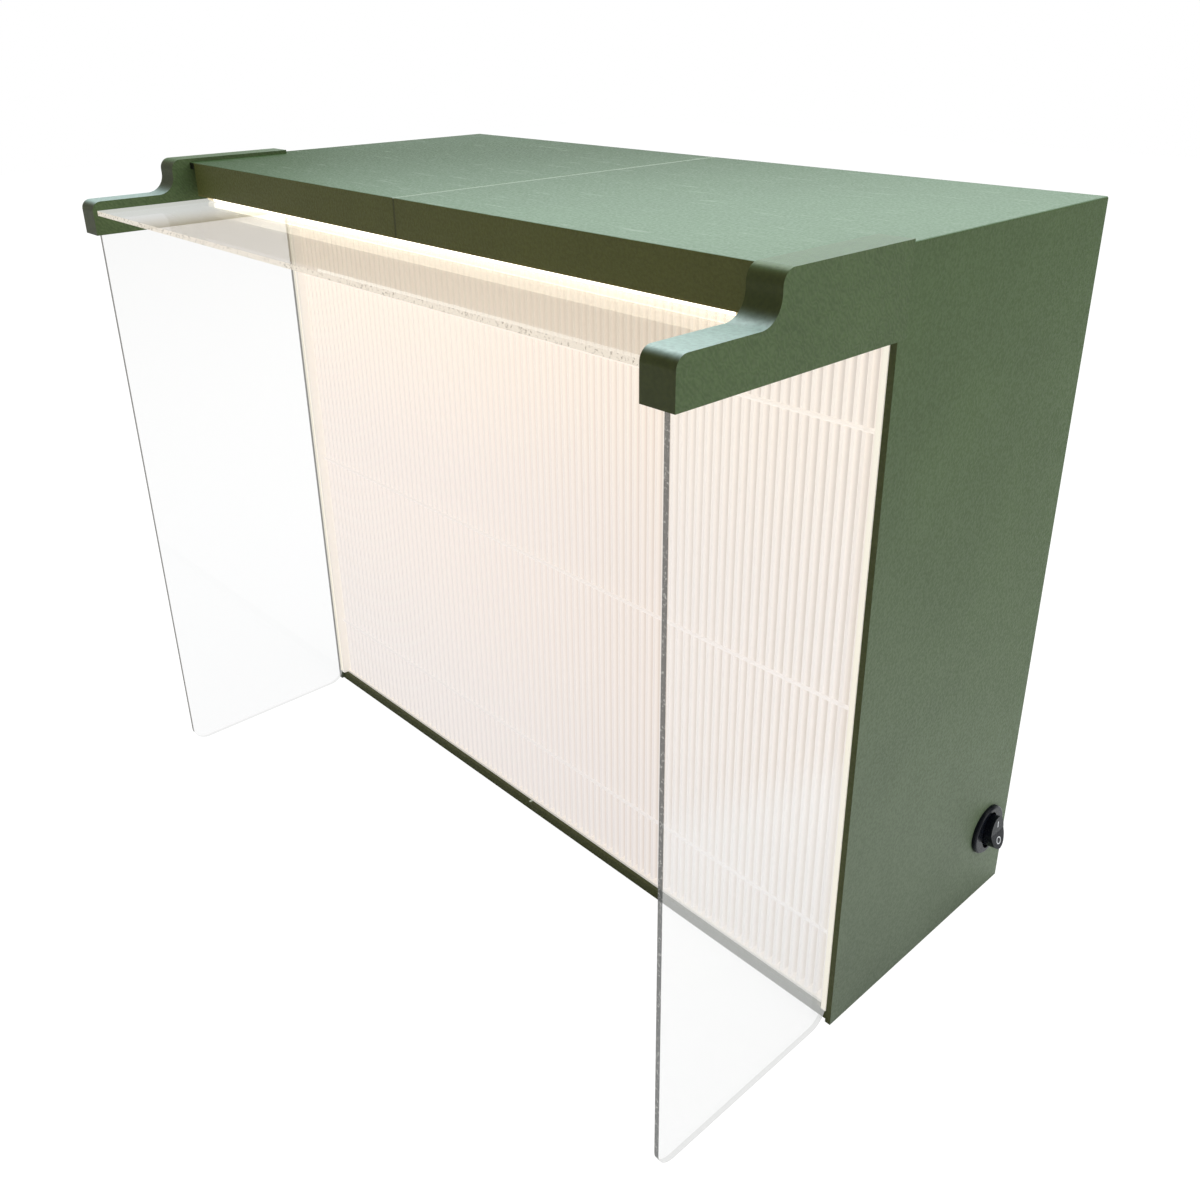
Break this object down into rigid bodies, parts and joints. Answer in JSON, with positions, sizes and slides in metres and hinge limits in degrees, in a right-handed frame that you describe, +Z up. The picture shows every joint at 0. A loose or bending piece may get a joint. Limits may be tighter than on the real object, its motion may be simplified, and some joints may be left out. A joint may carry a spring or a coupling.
{
  "type": "laminar flow hood",
  "caption": "Desktop laminar flow hood: printed shell with a pleated filter across its open front, lit canopy, clear top and side sheets, rear fans and a rocker switch",
  "frame": {"origin": "on the table, under the middle of the housing's footprint", "axes": "+X to the right seen from the front, +Y to the back, +Z up; the clean air leaves towards -Y"},
  "size_m": [0.3765, 0.2268, 0.3076],
  "materials": {
    "shell_plastic": "printed, fine textured",
    "bracket_plastic": "printed",
    "clear_acrylic": "clear, cut edges matt",
    "cartridge_plastic": "moulded",
    "filter_paper": "folded",
    "glue": "hot melt",
    "seal_foam": "closed cell foam",
    "pad_foam": "coarse open foam",
    "light_metal": "anodised",
    "light_board": "white lacquer with chips",
    "frosted_plastic": "frosted, lit",
    "cap_plastic": "moulded",
    "fan_plastic": "moulded",
    "screw_steel": "zinc",
    "switch_plastic": "moulded",
    "contact_brass": "plain"
  },
  "bodies": {
    "hood": {"left_housing": "shell_plastic", "right_housing": "shell_plastic", "left_bracket": "bracket_plastic", "right_bracket": "bracket_plastic", "left_screen": "clear_acrylic", "right_screen": "clear_acrylic", "top_screen": "clear_acrylic", "filter_frame": "cartridge_plastic", "filter_media": "filter_paper", "filter_beads": "glue", "filter_gasket": "seal_foam", "left_rear_panel": "shell_plastic", "right_rear_panel": "shell_plastic", "left_prefilter": "pad_foam", "right_prefilter": "pad_foam", "left_fan_frame": "fan_plastic", "right_fan_frame": "fan_plastic", "light_channel": "light_metal", "light_tape": "light_board", "light_diffuser": "frosted_plastic", "light_end_caps": "cap_plastic", "rear_panel_screws": "screw_steel", "fan_screws": "screw_steel", "bracket_screws": "screw_steel", "seam_screws": "screw_steel", "seam_nuts": "screw_steel", "switch_body": "switch_plastic", "switch_terminals": "contact_brass", "power_inlet": "switch_plastic", "power_inlet_pin": "contact_brass", "power_inlet_nut": "contact_brass"},
    "left_rotor": {"left_fan_rotor": "fan_plastic"},
    "right_rotor": {"right_fan_rotor": "fan_plastic"},
    "rocker": {"switch_rocker": "switch_plastic"}
  },
  "joints": [
    {"name": "left_fan_spin", "type": "hinge", "parent": "hood", "child": "left_rotor", "pos_m": [-0.0915, 0.043, 0.15], "axis": [0, 1, 0], "continuous": true},
    {"name": "right_fan_spin", "type": "hinge", "parent": "hood", "child": "right_rotor", "pos_m": [0.0915, 0.043, 0.15], "axis": [0, 1, 0], "continuous": true},
    {"name": "switch_rock", "type": "hinge", "parent": "hood", "child": "rocker", "pos_m": [0.183, 0.046, 0.036], "axis": [0, 1, 0], "range_deg": [0, 20]}
  ]
}
